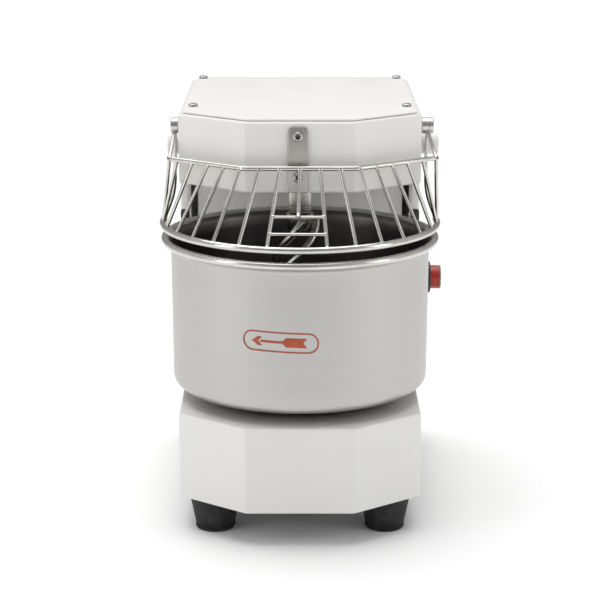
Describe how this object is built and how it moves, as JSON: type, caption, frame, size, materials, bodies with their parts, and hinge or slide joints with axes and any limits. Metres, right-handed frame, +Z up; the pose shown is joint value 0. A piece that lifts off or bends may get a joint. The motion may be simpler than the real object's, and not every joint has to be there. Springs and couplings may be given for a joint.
{
  "type": "spiral dough mixer",
  "caption": "Benchtop spiral dough mixer: white casing with a fixed head, turning steel bowl, spiral hook and a hinged wire guard.",
  "frame": {"origin": "middle of the machine's footprint, on the surface that it stands on", "axes": "+Z up, the machine's front faces -Y, its right-hand side as seen from the front is +X"},
  "size_m": [0.2975, 0.3906, 0.4145],
  "materials": {
    "white_paint": "satin",
    "stainless": "brushed",
    "plain_steel": "satin",
    "black_rubber": "matte",
    "black_plastic": "matte",
    "white_nylon": "matte",
    "cast_grey": "satin",
    "stop_red": "gloss",
    "start_green": "gloss"
  },
  "bodies": {
    "chassis": {"base_housing": "white_paint", "base_plate": "plain_steel", "column_housing": "white_paint", "column_front_panel": "white_paint", "rear_cover": "white_paint", "rear_cover_screw_1": "stainless", "rear_cover_screw_2": "stainless", "rear_cover_screw_3": "stainless", "rear_cover_screw_4": "stainless", "head_housing": "white_paint", "head_cover": "white_paint", "head_cover_screw_1": "stainless", "head_cover_screw_2": "stainless", "head_cover_screw_3": "stainless", "head_cover_screw_4": "stainless", "front_strap": "stainless", "front_strap_screw_upper": "stainless", "front_strap_screw_lower": "stainless", "foot_front_left": "black_rubber", "foot_front_right": "black_rubber", "foot_back_left": "black_rubber", "foot_back_right": "black_rubber", "bowl_bearing": "plain_steel", "spiral_bearing": "plain_steel", "drive_bearing_upper": "plain_steel", "drive_bearing_lower": "plain_steel", "bowl_chain": "plain_steel", "spiral_chain": "plain_steel", "drive_belt": "black_rubber", "motor": "cast_grey", "motor_bracket": "plain_steel", "guard_pin_left": "stainless", "guard_pin_right": "stainless", "guard_stop_left": "white_nylon", "guard_stop_right": "white_nylon", "side_cover_left": "white_paint", "side_cover_right": "white_paint", "side_vent_left": "black_plastic", "side_vent_right": "black_plastic", "stop_bezel": "black_plastic", "start_bezel": "black_plastic", "power_inlet": "black_plastic"},
    "bowl": {"bowl": "stainless", "turntable": "black_plastic", "bowl_shaft": "plain_steel", "bowl_sprocket": "plain_steel"},
    "spiral": {"spiral_shaft": "stainless", "spiral_hook": "stainless", "spiral_sprocket": "plain_steel"},
    "drive": {"drive_shaft": "plain_steel", "lower_drive_sprocket": "plain_steel", "upper_drive_sprocket": "plain_steel", "drive_pulley": "plain_steel"},
    "motor_rotor": {"motor_shaft": "plain_steel", "motor_pulley": "plain_steel"},
    "guard": {"guard": "stainless"},
    "stop_button": {"stop_button": "stop_red"},
    "start_button": {"start_button": "start_green"}
  },
  "joints": [
    {"name": "bowl_spin", "type": "hinge", "parent": "chassis", "child": "bowl", "pos_m": [-0.00725, -0.05525, 0], "axis": [0, 0, 1], "continuous": true},
    {"name": "spiral_spin", "type": "hinge", "parent": "chassis", "child": "spiral", "pos_m": [-0.00725, -0.00525, 0.3], "axis": [0, 0, 1], "continuous": true},
    {"name": "drive_spin", "type": "hinge", "parent": "chassis", "child": "drive", "pos_m": [-0.00725, 0.12075, 0.2], "axis": [0, 0, 1], "continuous": true},
    {"name": "motor_spin", "type": "hinge", "parent": "chassis", "child": "motor_rotor", "pos_m": [0.05475, 0.14475, 0.3], "axis": [0, 0, 1], "continuous": true},
    {"name": "guard_tilt", "type": "hinge", "parent": "chassis", "child": "guard", "pos_m": [-0.00725, -0.06025, 0.3955], "axis": [-1, 0, 0], "range_deg": [0, 85]},
    {"name": "stop_press", "type": "slide", "parent": "chassis", "child": "stop_button", "axis": [-1, 0, 0], "range_m": [0, 0.003], "stiffness_N_per_m": 600},
    {"name": "start_press", "type": "slide", "parent": "chassis", "child": "start_button", "axis": [-1, 0, 0], "range_m": [0, 0.003], "stiffness_N_per_m": 600}
  ],
  "couplings": [
    {"joint": "spiral_spin", "follows": "bowl_spin", "ratio": 8.125},
    {"joint": "drive_spin", "follows": "bowl_spin", "ratio": 5},
    {"joint": "motor_spin", "follows": "bowl_spin", "ratio": 15}
  ]
}
